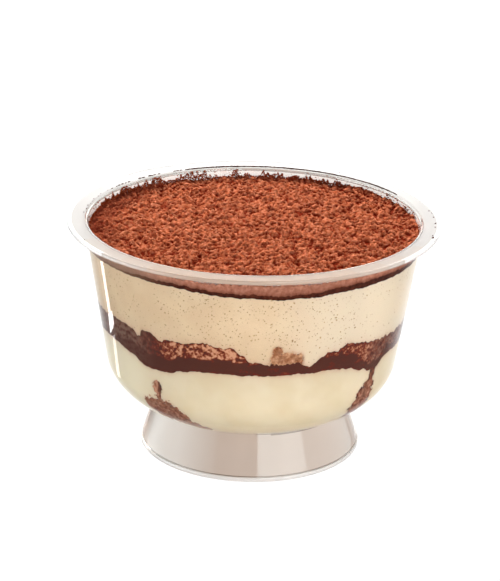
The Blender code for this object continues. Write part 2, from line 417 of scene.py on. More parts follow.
layers = {
    "reach": 0.12 * mm,  # how far the food goes into the wall, so that no air shows
    "fade": 4,  # how fast a swell dies away from the wall
    "spongeTop": 40.2 * mm,
    "spongeTopSwells": [
        (11, 14.5, -4.2), (27, 8, -2.0), (85, 45, -3.0), (-18, 4.5, 0.8), (-39.5, 4, 0.6),
        (-45.2, 1.4, -1.3), (-35, 1.6, -0.7), (-58, 7, 0.6), (-8, 3, 0.3), (-165, 26, -1.8),
        (-108, 18, -0.9), (150, 12, 0.8),
    ],
    "spongeBottom": 33.1 * mm,
    "spongeBottomSwells": [
        (-38, 9, -1.5), (-35, 14, -0.9), (-66, 10, 0.9), (60, 26, -1.3), (51, 9, -1.3), (53, 4.5, -1.2),
        (-140, 22, -1.9),
    ],
    "soakedDepth": 3.7 * mm,
    "soakedSwells": [
        (-45, 10, 0.4), (38, 8, 0.6), (-29, 5, 0.3), (52, 8, -1.2), (-75, 22, -2.4), (80, 18, -2.0),
    ],
    "dampBottom": 54.4 * mm,
    "dampSwells": [(-45, 28, 0.8), (14, 12, -0.4), (130, 34, 0.5)],
    "dampThick": 1.0 * mm,
    "dampThinnest": 0.25 * mm,
    "dampThickSwells": [(-72, 27, -0.75), (40, 20, 0.45), (75, 10, -0.3), (170, 60, -0.3)],
    "cocoaEdge": 57.8 * mm,
}
foodInset = cup["wall"] - layers["reach"]


def boundary(base, swells, ragged, raggedSize, seed):
    # height of a boundary at a place: the swells die away inwards, the fine edge is only at the wall
    def height(x, y):
        share = min(1, math.hypot(x, y) / wallRadius(base, cup["wall"]))
        azimuth = azimuthOf(x, y)
        z = base + swellAt(azimuth, swells) * share ** layers["fade"]
        if share > 0.9:
            z += ragged * rough(x, y, 0, raggedSize, seed)
            z += 0.9 * ragged * rough(x, y, 0, raggedSize * 0.35, seed + 1)
        return z
    return height


def raised(surface, by):
    return lambda x, y: surface(x, y) + by


spongeTopAt = boundary(layers["spongeTop"], layers["spongeTopSwells"], 0.6 * mm, 1.7 * mm, 1)
spongeBottomAt = boundary(layers["spongeBottom"], layers["spongeBottomSwells"], 0.26 * mm, 1.8 * mm, 3)
dampBottomAt = boundary(layers["dampBottom"], layers["dampSwells"], 0.24 * mm, 1.6 * mm, 5)


def dampTopAt(x, y):
    azimuth = azimuthOf(x, y)
    thick = max(layers["dampThinnest"], layers["dampThick"] + swellAt(azimuth, layers["dampThickSwells"]))
    return dampBottomAt(x, y) + thick + 0.15 * mm * rough(x, y, 0, 1.1 * mm, 7)


def bowlFloor(x, y):
    return cup["floorHeight"] + foodInset


def unitDrum(name, around, levels, rings):
    # a drum one high and one in radius: its disc is drawn up level by level, its ends get rings
    pickNothing()
    bpy.ops.mesh.primitive_circle_add(vertices=around, radius=1, fill_type="NGON")
    piece = named(bpy.context.object, name)
    go("EDIT")
    bpy.ops.mesh.select_all(action="SELECT")
    for _ in range(levels):
        bpy.ops.mesh.extrude_region_move(TRANSFORM_OT_translate={"value": (0, 0, 1 / levels)})
    for end in (1, 0):
        go("OBJECT")
        for face in piece.data.polygons:
            face.select = len(face.vertices) > 4 and abs(face.center.z - end) < 0.01
        go("EDIT")
        bpy.ops.mesh.select_mode(type="FACE")
        for _ in range(rings):
            bpy.ops.mesh.inset(thickness=1 / (rings + 1), use_even_offset=True)
        bpy.ops.mesh.poke()
    go("OBJECT")
    faceOutwards(piece)
    return piece


def fitLayer(piece, under, over):
    # every point of the drum goes to its place between two boundaries, out to inside the wall
    for point in piece.data.vertices:
        share = math.hypot(point.co.x, point.co.y)
        level = point.co.z
        away = Vector((point.co.x, point.co.y)) / share if share > 1e-6 else Vector((0, 0))
        radius = wallRadius(layers["spongeTop"], foodInset) * share
        for _ in range(4):
            x, y = away * radius
            z = under(x, y) * (1 - level) + over(x, y) * level
            radius = wallRadius(z, foodInset) * share
        point.co = (away.x * radius, away.y * radius, z)
    piece.data.update()


def againstWall(x, y, z):
    return math.hypot(x, y) > wallRadius(z, foodInset) - 0.05 * mm


def pushIn(point, by):
    scale = 1 - by / math.hypot(point.co.x, point.co.y)
    point.co = (point.co.x * scale, point.co.y * scale, point.co.z)


# ---- bits of sponge against the wall, as outlines on it

bits = {
    # each blob: azimuth and half width in degrees, height and half height in mm
    "streak": [
        (53.4, 1.7, 28.0, 2.8), (52.4, 3.5, 25.0, 1.8), (51.0, 4.7, 23.2, 1.9), (50.6, 5.4, 21.2, 1.9),
        (50.2, 5.6, 19.3, 1.8), (49.4, 4.2, 17.4, 1.4),
    ],
    "scrap": [
        (-45.0, 2.1, 19.8, 1.9), (-42.0, 3.1, 19.3, 3.0), (-38.0, 3.8, 19.3, 3.6), (-34.0, 3.5, 19.0, 3.5),
        (-30.6, 2.8, 18.2, 2.9), (-28.0, 2.4, 17.4, 2.5), (-25.0, 3.2, 15.9, 1.3), (-21.0, 3.6, 15.1, 0.8),
        (-38.3, 2.1, 25.9, 1.7), (-37.9, 1.1, 23.6, 1.6),
    ],
    "crumb": [(12.6, 5.0, 37.3, 2.2), (8.9, 2.0, 37.2, 2.2), (17.0, 2.2, 37.0, 2.0), (9.4, 1.9, 39.7, 1.4)],
    "grid": 0.16 * mm,
    "proud": 0.04 * mm,  # the bits lie this much further into the wall than the cream
    "bedding": 0.6 * mm,  # how deep the cream gives way behind them
    "cutAt": 0.85,  # a bit ends where its field falls below this
}


def blobField(azimuth, z, blobs):
    # above 1 inside an outline, falling off around it
    field = 0
    for at, wide, height, tall in blobs:
        reach = (turnApart(azimuth, at) / wide) ** 2 + ((z / mm - height) / tall) ** 2
        field = max(field, math.exp(1.0 - reach) if reach < 9 else 0)
    return field


# ---- food looks

def creamLook(name, colour, shade, stain, pale):
    look, tree, shader = newLook(
        name, colour, 0.5, Specular_IOR_Level=0.1,
        Subsurface_Weight=0.2, Subsurface_Radius=(1.0, 0.7, 0.4), Subsurface_Scale=1.0 * mm,
    )
    base = ramp(tree, speckle(tree, 7 * mm, 3), [(0.35, shade), (0.65, colour)])
    # painted light: one side of the cream is paler
    base = blendColours(tree, valueOf(tree, "pale"), base, pale)
    marked = blendColours(tree, valueOf(tree, "stain"), base, stain)
    tree.links.new(marked, shader.inputs["Base Color"])
    addBump(tree, shader, speckle(tree, 2.2 * mm, 2), 0.05 * mm, 0.3)
    return look


def crumbLook(name, stops, dull, wet=0.3, grain=0.55 * mm):
    # the tone of a point says how dry it is, and fine noise breaks it up
    look, tree, shader = newLook(name, stops[0][1], 0.5, Specular_IOR_Level=0.1)
    mottle = addNode(tree, "MapRange", From_Min=0.3, From_Max=0.7, To_Min=-0.3, To_Max=0.3)
    tree.links.new(speckle(tree, grain, 3), mottle.inputs[0])
    reach = addNode(tree, "Math", operation="MULTIPLY_ADD", use_clamp=True)
    reach.inputs[1].default_value = 3.0
    reach.inputs[2].default_value = 0.0
    toneValue = valueOf(tree, "tone")
    tree.links.new(toneValue, reach.inputs[0])
    spread = addNode(tree, "Math", operation="MULTIPLY_ADD", use_clamp=True)
    tree.links.new(mottle.outputs[0], spread.inputs[0])
    tree.links.new(reach.outputs[0], spread.inputs[1])
    tree.links.new(toneValue, spread.inputs[2])
    colour = ramp(tree, spread.outputs[0], stops)
    greyed = blendColours(tree, valueOf(tree, "dull"), colour, dull)
    tree.links.new(greyed, shader.inputs["Base Color"])
    rougher = addNode(tree, "MapRange", To_Min=wet, To_Max=0.85)
    tree.links.new(spread.outputs[0], rougher.inputs[0])
    tree.links.new(rougher.outputs[0], shader.inputs["Roughness"])
    addBump(tree, shader, speckle(tree, 0.4 * mm, 3), 0.08 * mm, 0.5)
    return look


def cocoaLook(name, pit, dark, middle, light, roughness=0.95, shadeAndVeilColour=None):
    look, tree, shader = newLook(name, middle, roughness, Specular_IOR_Level=0)
    colour = ramp(tree, speckle(tree, 0.9 * mm, 4), [(0.32, dark), (0.5, middle), (0.68, light)])
    # painted shade: the first blend darkens the bed's hollows and steep sides; on loose grains it is a darker
    # tone at random
    sunk = blendColours(tree, valueOf(tree, "shadeAndTone"), colour, pit)
    if shadeAndVeilColour:
        # the second blend is painted shade by the wall on the bed's top, and a painted pale reflection on the
        # left of the band and the damp line
        sunk = blendColours(tree, valueOf(tree, "shadeAndVeil"), sunk, shadeAndVeilColour)
    tree.links.new(sunk, shader.inputs["Base Color"])
    addBump(tree, shader, speckle(tree, 0.35 * mm, 3), 0.12 * mm, 0.9)
    return look


# ---- the two creams

cream = {
    "around": 480,
    "lowerLevels": 40,
    "upperLevels": 34,
    "rings": 3,
    "lowerColour": tone(234, 220, 193),
    "lowerShade": tone(228, 212, 181),
    # painted light: the paler colour of each cream's brighter side
    "lowerLit": tone(243, 234, 210),
    "upperColour": tone(233, 211, 179),
    "upperShade": tone(227, 202, 169),
    "upperLit": tone(234, 219, 196),
    "stain": tone(196, 140, 108),
    "seam": 0.7 * mm,  # how far the sponge colours the cream next to it
    "speckCount": 1600,
    "speckColour": tone(200, 167, 122),
    "darkSpeckColour": tone(160, 126, 84),
}


def markCream(piece, blobs, strength, seamAt, paleAt):
    # a stain round the bits and along the sponge, a bed for the bits, and painted light that makes one side of
    # the cream paler
    values, paintedLights = [], []
    for point in piece.data.vertices:
        x, y, z = point.co
        paintedLights.append(paleAt(azimuthOf(x, y)))
        if not againstWall(x, y, z):
            values.append(0)
            continue
        field = blobField(azimuthOf(x, y), z, blobs)
        seam = 0.45 * math.exp(-abs(z - seamAt(x, y)) / cream["seam"])
        patchy = 0.75 + 0.5 * rough(x, y, z, 1.5 * mm, 9)
        values.append(min(1, (strength * min(1, field) ** 2 + seam) * patchy))
        if field > 1.2:
            pushIn(point, bits["bedding"])
    paint(piece, "stain", values)
    paint(piece, "pale", paintedLights)


def layCream(name, part, lookName, under, over, slotName, node, **marks):
    piece = unitDrum(name, cream["around"], cream[part + "Levels"], cream["rings"])
    fitLayer(piece, under, over)
    markCream(piece, **marks)
    smooth(piece)
    colours = [cream[part + "Colour"], cream[part + "Shade"], cream["stain"], cream[part + "Lit"]]
    finishPiece(piece, [creamLook(lookName, *colours)], slotName, node)


# painted light: the lower cream is paler on the left, the upper one on the right
layCream(
    "creamLowerFill", "lower", "plainCream", bowlFloor, raised(spongeBottomAt, -0.01 * mm),
    "plain_cream", "cream_lower", blobs=bits["streak"] + bits["scrap"], strength=0.45,
    seamAt=spongeBottomAt, paleAt=lambda azimuth: 0.8 * easeIn(25, 55, -azimuth),
)
layCream(
    "creamUpperFill", "upper", "vanillaCream", raised(spongeTopAt, 0.01 * mm), raised(dampBottomAt, -0.01 * mm),
    "vanilla_cream", "cream_upper", blobs=bits["crumb"], strength=0.75,
    seamAt=spongeTopAt, paleAt=lambda azimuth: 0.95 * easeIn(0, 34, azimuth),
)
print("creams done")


# ---- the sponge: soaked along its foot, crumbly above

sponge = {
    "around": 1000,
    "levels": 30,
    "rings": 3,
    "soaked": tone(87, 41, 29),
    "edge": tone(112, 34, 18),
    "brown": tone(134, 62, 38),
    "tan": tone(196, 124, 90),
    "pale": tone(224, 168, 134),
    "dull": tone(134, 104, 88),
    "relief": 0.06 * mm,
    # where the crumb is dry: azimuth, half width, how dry
    "dryParts": [
        (-16, 18, 0.64), (39, 14, 0.36), (64, 12, 0.24), (150, 30, 0.5), (-120, 20, 0.42), (-150, 12, 0.6),
    ],
    "restDry": 0.14,
    "dullParts": [(-66, 25, 0.85), (76, 28, 0.7), (105, 10, 0.5), (-165, 20, 0.4)],
}


def partAt(azimuth, parts, rest):
    return rest + sum(
        (much - rest) * math.exp(-((turnApart(azimuth, at) / wide) ** 6)) for at, wide, much in parts
    )


def shapeSponge(piece):
    tones, dulls = [], []
    for point in piece.data.vertices:
        x, y, z = point.co
        if not againstWall(x, y, z):
            tones.append(0.2)
            dulls.append(0)
            continue
        azimuth = azimuthOf(x, y)
        soakedTop = spongeBottomAt(x, y) + layers["soakedDepth"] + swellAt(azimuth, layers["soakedSwells"])
        crumb = easeIn(-0.4 * mm, 0.4 * mm, z - soakedTop + 0.8 * mm * rough(x, y, z, 1.3 * mm, 11))
        dry = partAt(azimuth, sponge["dryParts"], sponge["restDry"])
        clots = rough(x / 1.4, y / 1.4, z, 1.0 * mm, 13) + 0.8 * rough(x, y, z, 0.5 * mm, 14)
        lip = math.exp(-max(0, spongeTopAt(x, y) - z) / (0.3 * mm))
        lip *= 1 - 0.8 * math.exp(-(((azimuth + 4) / 6) ** 4))
        foot = 0.2 * math.exp(-max(0, z - spongeBottomAt(x, y)) / (0.35 * mm))
        smear = 0.3 * max(0, rough(x / 3, y / 3, z, 0.8 * mm, 18)) * easeIn(-20, 0, azimuth)
        value = crumb * min(1, max(0.05, dry * (1 + 1.4 * clots) - 0.9 * dry * lip)) + foot + smear
        tones.append(value)
        mottle = min(1, max(0, 0.6 + 0.9 * clots)) * (0.3 + 0.7 * crumb)
        dulls.append(mottle * partAt(azimuth, sponge["dullParts"], 0))
        pushIn(point, sponge["relief"] * crumb * min(1, max(0, 0.5 - clots)))
    paint(piece, "tone", tones)
    paint(piece, "dull", dulls)
    piece.data.update()


spongeStops = [
    (0.0, sponge["soaked"]), (0.1, sponge["soaked"]), (0.2, sponge["edge"]), (0.4, sponge["brown"]),
    (0.65, sponge["tan"]), (0.95, sponge["pale"]),
]
spongeLayer = unitDrum("spongeLayer", sponge["around"], sponge["levels"], sponge["rings"])
fitLayer(spongeLayer, spongeBottomAt, spongeTopAt)
shapeSponge(spongeLayer)
smooth(spongeLayer, 60)
soakedSponge = crumbLook("soakedSponge", spongeStops, sponge["dull"])
finishPiece(spongeLayer, [soakedSponge], "soaked_sponge", "sponge")
print("sponge done")


def wallPatch(name, blobs, depth, dull, toneAt, within=None):
    # a grid laid on the wall, cut to the blobs' ragged outline and given a thickness
    azimuths = [b[0] + s * (b[1] + 3) for b in blobs for s in (-1, 1)]
    heights = [b[2] + s * (b[3] + 1.5) for b in blobs for s in (-1, 1)]
    wide = math.radians(max(azimuths) - min(azimuths)) * wallRadius(25 * mm)
    tall = (max(heights) - min(heights)) * mm
    pickNothing()
    bpy.ops.mesh.primitive_grid_add(
        x_subdivisions=round(wide / bits["grid"]), y_subdivisions=round(tall / bits["grid"]), size=1
    )
    piece = named(bpy.context.object, name)
    fields, tones = [], []
    for point in piece.data.vertices:
        azimuth = min(azimuths) + (point.co.x + 0.5) * (max(azimuths) - min(azimuths))
        z = (min(heights) + (point.co.y + 0.5) * (max(heights) - min(heights))) * mm
        x, y, _ = atTurn(azimuth, wallRadius(z, foodInset - bits["proud"]), z)
        ragged = 0.6 * rough(x, y, z, 1.2 * mm, 21) + 1.0 * rough(x, y, z, 0.55 * mm, 22)
        field = blobField(azimuth, z, blobs)
        field += ragged * easeIn(0.3, 0.7, field)
        if within:  # it ends where the layer beside it begins
            field *= easeIn(-0.2 * mm, 0, within(x, y, z))
        pits = max(0, rough(x, y, z, 0.7 * mm, 23))
        point.co = (x, y, z)
        pushIn(point, 0.06 * mm * (1 - easeIn(0.95, 1.2, field)) + 0.05 * mm * pits)
        fields.append(field)
        tones.append(toneAt(azimuth, z, field - ragged) + 0.5 * rough(x, y, z, 1.0 * mm, 24))
    paint(piece, "tone", tones)
    paint(piece, "dull", [dull + 0.5 * rough(*p.co, 1.6 * mm, 26) for p in piece.data.vertices])
    go("EDIT")
    bpy.ops.mesh.select_mode(type="FACE")
    go("OBJECT")
    for face in piece.data.polygons:
        face.select = min(fields[i] for i in face.vertices) < bits["cutAt"]
    go("EDIT")
    bpy.ops.mesh.delete(type="FACE")
    go("OBJECT")
    wall = piece.modifiers.new("Thick", "SOLIDIFY")
    wall.thickness = depth
    wall.offset = -1
    applyAll(piece)
    smooth(piece, 60)
    return piece


looseStops = [
    (0.0, tone(84, 34, 22)), (0.3, tone(130, 72, 52)), (0.6, tone(166, 106, 82)), (0.95, tone(208, 154, 126)),
]
looseSponge = crumbLook("looseSponge", looseStops, tone(128, 96, 76), 0.4, 0.6 * mm)


def streakTone(azimuth, z, field):
    return 0.08 + 0.42 * easeIn(1.0, 1.6, field) - 0.3 * easeIn(25.5 * mm, 27.5 * mm, z)


streak = wallPatch(
    "spongeStreakPiece", bits["streak"], 1.6 * mm, 0.05, streakTone,
    lambda x, y, z: spongeBottomAt(x, y) - z,
)
finishPiece(streak, [looseSponge], "loose_sponge", "sponge_streak")


def scrapTone(azimuth, z, field):
    # the finger on top is pale with one dark side
    if z > 23.2 * mm:
        return 0.95 - 0.8 * easeIn(-38.4, -37.2, azimuth)
    return 0.72 - 0.15 * easeIn(0.9, 1.5, field)


scrap = wallPatch("spongeScrapPiece", bits["scrap"], 1.8 * mm, 0.25, scrapTone)
finishPiece(scrap, [looseSponge], "loose_sponge", "sponge_scrap")
dryStops = [
    (0.0, tone(116, 60, 34)), (0.35, tone(168, 108, 72)), (0.7, tone(206, 152, 114)), (0.95, tone(234, 198, 162)),
]
drySponge = crumbLook("drySponge", dryStops, tone(200, 156, 122), 0.6, 0.5 * mm)


def crumbTone(azimuth, z, field):
    nub = math.exp(-((azimuth - 9.4) / 2.5) ** 2 - ((z / mm - 40.2) / 1.6) ** 2)
    return 0.95 - 0.5 * easeIn(0.85, 1.5, field) - 0.3 * nub


crumb = wallPatch(
    "spongeCrumbPiece", bits["crumb"], 1.8 * mm, 0.2, crumbTone,
    lambda x, y, z: z - spongeTopAt(x, y),
)
finishPiece(crumb, [drySponge], "dry_sponge", "sponge_crumb")
print("bits of sponge done")


# ---- cocoa: the damp line, the bed, loose grains

damp = {
    "around": 900,
    "levels": 5,
    "rings": 3,
    "tones": [tone(46, 18, 10), tone(56, 22, 13), tone(72, 32, 20), tone(94, 46, 30)],
    # the paler colour of the painted reflection on the left
    "shadeAndVeilColour": tone(134, 104, 84),
    "fadeLeft": (24, 58),  # azimuths on the left between which it turns pale, a painted pale reflection
    "roughness": 0.8,
}


# painted pale reflection: how far each point fades to a paler colour towards the left
def fadeLeft(piece, start, end):
    return [0.85 * easeIn(start, end, -azimuthOf(*point.co.xy)) for point in piece.data.vertices]


dampLine = unitDrum("dampLine", damp["around"], damp["levels"], damp["rings"])
fitLayer(dampLine, dampBottomAt, dampTopAt)
smooth(dampLine, 60)
paint(dampLine, "shadeAndTone", [0.0] * len(dampLine.data.vertices))
paint(dampLine, "shadeAndVeil", fadeLeft(dampLine, *damp["fadeLeft"]))
dampLook = cocoaLook("dampLine", *damp["tones"], damp["roughness"], shadeAndVeilColour=damp["shadeAndVeilColour"])
dampCocoa = cocoaLook("dampCocoa", *damp["tones"], damp["roughness"])
finishPiece(dampLine, [dampLook], "damp_cocoa", "cocoa_damp")

cocoa = {
    "grid": 288,
    "sideLevels": 8,
    "crown": 0.4 * mm,
    # where it climbs the wall: azimuth, half width, height in mm
    "pileUps": [(-120, 30, 0.8), (113, 32, 1.0), (-160, 8, -0.2), (150, 16, 0.45), (170, 14, 0.3)],
    "pileWidth": 1.8 * mm,
    "drift": (8 * mm, 0.4 * mm),  # size and height of each relief
    "clump": (2.5 * mm, 0.75 * mm),
    "lump": (1.3 * mm, 0.68 * mm),
    "crest": (1.15 * mm, 0.32 * mm),
    "grain": (0.5 * mm, 0.2 * mm),
    "push": (1.2 * mm, 0.5 * mm),
    # the painted shade colour of the bed's hollows and steep sides; loose grains take it at random as a darker
    # tone
    "pit": tone(112, 20, 2),
    "dark": tone(161, 77, 45),
    "middle": tone(193, 107, 73),
    "light": tone(217, 135, 100),
    # the painted shade colour of the cocoa by the wall
    "shadeAndVeilColour": tone(131, 58, 39),
    "shadeAndVeil": (-100, 34, 0.9),  # the heap at the wall, darkened with painted shade: azimuth, half width, how dark
    "cleanSide": (106, 34),  # where hardly any cocoa stands up the wall: azimuth and half width
    "bandLow": tone(120, 62, 44),
    "bandDark": tone(152, 99, 82),
    "bandMiddle": tone(179, 120, 98),
    "bandLight": tone(197, 140, 118),
    "bandLit": tone(150, 121, 104),  # what it fades to on the left, a painted pale reflection
    "bandFade": (16, 52),
    "bandEdge": (0.45 * mm, 75),  # on top it goes this far in, up to this azimuth
}


def cocoaTopAt(x, y):
    reach = math.hypot(x, y)
    edge = wallRadius(layers["cocoaEdge"], foodInset)
    share = min(1, reach / edge)
    piled = swellAt(azimuthOf(x, y), cocoa["pileUps"]) * math.exp(-(edge - reach) / cocoa["pileWidth"])
    return layers["cocoaEdge"] + cocoa["crown"] * (1 - share ** 2) + piled


def knobbly(x, y, size, seed):
    # rounded lumps with creases between them, from 0 in a crease to 1 on top
    near, _ = noise.voronoi(Vector((x / size + seed * 5.1, y / size, seed * 1.7)))
    dome = 1 - min(1, near[0] / 0.8) ** 2
    crease = min(1, (near[1] - near[0]) / 0.3)
    return dome * (0.45 + 0.55 * crease)


def cocoaRelief(x, y):
    # height of the dusted surface over its mean, and how much painted shade it takes in a hollow
    push, by = cocoa["push"]
    u = x + by * rough(x, y, 0, push, 51)
    v = y + by * rough(x, y, 0, push, 53)
    drift = cocoa["drift"][1] * rough(x, y, 0, cocoa["drift"][0], 55)
    patch = 0.7 + 0.6 * rough(x, y, 0, 5 * mm, 61)
    height = cocoa["clump"][1] * (knobbly(u, v, cocoa["clump"][0], 57) - 0.5) * patch
    height += cocoa["lump"][1] * (knobbly(u, v, cocoa["lump"][0], 58) - 0.5)
    height += cocoa["crest"][1] * (0.6 - min(1, 3 * abs(rough(u, v, 0, cocoa["crest"][0], 60))))
    height += cocoa["grain"][1] * rough(x, y, 0, cocoa["grain"][0], 59)
    return height + drift, 0.9 * easeIn(0, 0.3 * mm, -height)


def cocoaBed():
    pickNothing()
    n = cocoa["grid"]
    bpy.ops.mesh.primitive_grid_add(x_subdivisions=n, y_subdivisions=n, size=2)
    piece = named(bpy.context.object, "cocoaBed")
    for point in piece.data.vertices:  # the square grid drawn into a disc
        x, y, _ = point.co
        point.co = (x * math.sqrt(1 - y * y / 2), y * math.sqrt(1 - x * x / 2), 1)
    go("EDIT")
    bpy.ops.mesh.select_mode(type="EDGE")
    bpy.ops.mesh.select_all(action="DESELECT")
    bpy.ops.mesh.select_non_manifold()
    for _ in range(cocoa["sideLevels"]):
        step = (0, 0, -1 / cocoa["sideLevels"])
        bpy.ops.mesh.extrude_region_move(TRANSFORM_OT_translate={"value": step})
    bpy.ops.mesh.edge_face_add()
    bpy.ops.mesh.poke()
    go("OBJECT")
    faceOutwards(piece)
    top = [point.index for point in piece.data.vertices if point.co.z > 0.999]
    shares = {i: math.hypot(*piece.data.vertices[i].co.xy) for i in top}
    fitLayer(piece, raised(dampTopAt, 0.01 * mm), cocoaTopAt)
    shadesAndTones = []
    for point in piece.data.vertices:  # against the wall it is darker towards the damp line
        over = point.co.z - dampTopAt(point.co.x, point.co.y)
        over -= 0.2 * mm * rough(*point.co, 1.5 * mm, 63)
        shadesAndTones.append(0.9 * math.exp(-max(0, over) / (0.8 * mm)))
    inwards, around = cocoa["bandEdge"]
    ring = wallRadius(layers["cocoaEdge"], foodInset) - inwards
    sides = [
        abs(face.normal.z) < 0.5
        or (face.center.xy.length > ring and abs(azimuthOf(*face.center.xy)) < around)
        for face in piece.data.polygons
    ]
    for i in top:
        point = piece.data.vertices[i]
        height, shadesAndTones[i] = cocoaRelief(point.co.x, point.co.y)
        point.co.z += height * (1 - 0.3 * easeIn(0.985, 1, shares[i]))
    piece.data.update()
    shadesAndVeils = fadeLeft(piece, *cocoa["bandFade"])
    at, wide, dark = cocoa["shadeAndVeil"]
    for i in top:  # painted shade: steep sides are darkened, and so is the cocoa by the wall, on the heap and all round the back
        point = piece.data.vertices[i]
        shadesAndTones[i] = min(1, shadesAndTones[i] + 0.8 * easeIn(0.22, 0.5, 1 - point.normal.z))
        turn = azimuthOf(*point.co.xy)
        heap = dark * nearTo(turn, at, wide) * easeIn(0.79, 0.92, shares[i])
        behind = 0.65 * easeIn(70, 110, abs(turn)) * easeIn(0.955, 0.985, shares[i])
        behind *= 1 - 0.8 * nearTo(turn, *cocoa["cleanSide"])
        shadesAndVeils[i] = min(0.9, (heap + behind) * (0.8 + 0.5 * rough(*point.co, 1.5 * mm, 65)))
    paint(piece, "shadeAndTone", shadesAndTones)
    paint(piece, "shadeAndVeil", shadesAndVeils)
    smooth(piece, 75)
    return piece, top, sides


bed, bedTop, bedSides = cocoaBed()
bedPlaces = [(bed.data.vertices[i].co.copy(), bed.data.vertices[i].normal.copy()) for i in bedTop]
dryCocoa = cocoaLook(
    "dryCocoa", cocoa["pit"], cocoa["dark"], cocoa["middle"], cocoa["light"], shadeAndVeilColour=cocoa["shadeAndVeilColour"]
)
fringeCocoa = cocoaLook(
    "fringeCocoa", tone(94, 32, 12), tone(118, 48, 26), tone(142, 64, 38), tone(168, 86, 56)
)
bandCocoa = cocoaLook(
    "bandCocoa", cocoa["bandLow"], cocoa["bandDark"], cocoa["bandMiddle"], cocoa["bandLight"], 0.8,
    cocoa["bandLit"],
)
finishPiece(bed, [dryCocoa, bandCocoa], "dry_cocoa", "cocoa_dust")
for face, side in zip(bed.data.polygons, bedSides):  # what lies against the wall has its own look
    face.material_index = 1 if side else 0
print("cocoa bed done:", len(bed.data.polygons), "faces")


def pebble(seed, subdivisions=2):
    # an uneven little lump, one across, as its points and faces
    pickNothing()
    bpy.ops.mesh.primitive_ico_sphere_add(subdivisions=subdivisions, radius=0.5)
    piece = bpy.context.object
    shape = []
    for point in piece.data.vertices:
        bulge = 1 + 0.55 * rough(*point.co, 0.55, seed) + 0.25 * rough(*point.co, 0.25, seed + 3)
        shape.append(point.co * bulge)
    faces = [tuple(face.vertices) for face in piece.data.polygons]
    bpy.data.objects.remove(piece, do_unlink=True)
    return np.array([tuple(p) for p in shape]), np.array(faces)


def strew(name, pebbles, spots):
    # copies of the pebbles in one mesh; a spot is a place, three sizes, a turn and how dark it is
    points, faces, darks, count = [], [], [], 0
    for number, (place, size, turn, dark) in enumerate(spots):
        shape, sides = pebbles[number % len(pebbles)]
        turnedBy = np.array(Euler(turn).to_matrix())
        points.append((shape * np.array(size)) @ turnedBy.T + np.array(place))
        faces.append(sides + count)
        darks += [dark] * len(shape)
        count += len(shape)
    mesh = bpy.data.meshes.new(name)
    mesh.from_pydata(np.concatenate(points).tolist(), [], np.concatenate(faces).tolist())
    piece = bpy.data.objects.new(name, mesh)
    bpy.context.collection.objects.link(piece)
    paint(piece, "shadeAndTone", darks)
    smooth(piece, 80)
    return piece


grains = {
    "onTop": 1300,
    "onWall": 700,
    "inFringe": 8000,
    "onMouth": 600,
    "smallest": 0.2 * mm,
    "largest": 0.8 * mm,
    "fringeLargest": 0.42 * mm,
    "fringeHeight": 2.4 * mm,
    "fringeFull": 1.1 * mm,  # a spike this high takes all the clumps that fall on it
    "wallSizes": (0.16, 0.42),  # across, in mm
    "mouthSizes": (0.26, 0.44),
    # crumbs on the rim: azimuth, how far inside its edge and size in mm
    "onRim": [
        (100.6, 1.8, 0.4), (98.5, 1.5, 0.3), (94.2, 1.6, 0.4), (91.7, 0.9, 0.3), (88.0, 1.6, 0.4),
        (84.5, 1.6, 0.42), (74.2, 1.1, 0.75), (76.0, 1.5, 0.35), (96.5, 0.7, 0.24), (-98.7, 4.3, 0.3),
        (-91.3, 4.1, 0.28), (-103.4, 4.5, 0.24), (-106, 4.2, 0.3), (-109.3, 4.5, 0.26), (-95, 4.5, 0.3),
        (-112, 4.2, 0.24), (-116.5, 4.5, 0.22), (-100.8, 4.6, 0.26), (-64, 1.2, 0.3),
        (150, 2.2, 0.2), (-150, 1.9, 0.2),
    ],
}
pebbles = [pebble(seed) for seed in range(5)]
smallPebbles = [pebble(seed, 1) for seed in range(6, 10)]


def anyTurn():
    return tuple(rng.uniform(0, 2 * math.pi) for _ in range(3))


def grainSize(largest):
    size = grains["smallest"] + (largest - grains["smallest"]) * rng.random() ** 2
    return tuple(size * rng.uniform(0.75, 1.25) for _ in range(3))


def onInnerWall(azimuth, z, off):
    return Vector(atTurn(azimuth, wallRadius(z, cup["wall"]) - off, z))


def topSpots():
    spots = []
    for place, normal in rng.sample(bedPlaces, grains["onTop"]):
        if math.hypot(place.x, place.y) > wallRadius(place.z, cup["wall"]) - 0.6 * mm:
            continue
        size = grainSize(grains["largest"])
        spots.append((place + normal * size[2] * 0.05, size, anyTurn(), rng.uniform(0, 0.35)))
    return spots


def fringeAt(azimuth):
    # how high the fringe of cocoa stands over the bed at the wall
    turn = math.radians(azimuth)
    x, y = 42 * mm * math.sin(turn), 42 * mm * math.cos(turn)
    spikes = 0.2 + 0.75 * max(0, rough(x, y, 0, 2.4 * mm, 33))
    spikes += 0.85 * max(0, rough(x, y, 0, 0.75 * mm, 35))
    back = 0.5 - 0.5 * math.cos(turn)
    uneven = 0.5 * nearTo(azimuth, -146, 28) - 0.5 * nearTo(azimuth, *cocoa["cleanSide"])
    return (0.15 + 0.75 * back + uneven) * spikes * grains["fringeHeight"]


def edgeHeight(azimuth):
    spot = onInnerWall(azimuth, layers["cocoaEdge"], 0.3 * mm)
    return cocoaTopAt(spot.x, spot.y)


def fringeSpots():
    # clumps heaped against the wall, in spikes
    spots = []
    while len(spots) < grains["inFringe"]:
        azimuth = rng.uniform(-180, 180)
        tall = fringeAt(azimuth)
        if rng.random() > tall / grains["fringeFull"]:
            continue
        z = edgeHeight(azimuth) + rng.uniform(-0.3 * mm, tall)
        size = grainSize(grains["fringeLargest"])
        z = min(z, cupTop - cup["bead"] - 0.5 * mm)
        spots.append((onInnerWall(azimuth, z, 0.35 * max(size)), size, anyTurn(), rng.uniform(0, 0.8)))
    return spots


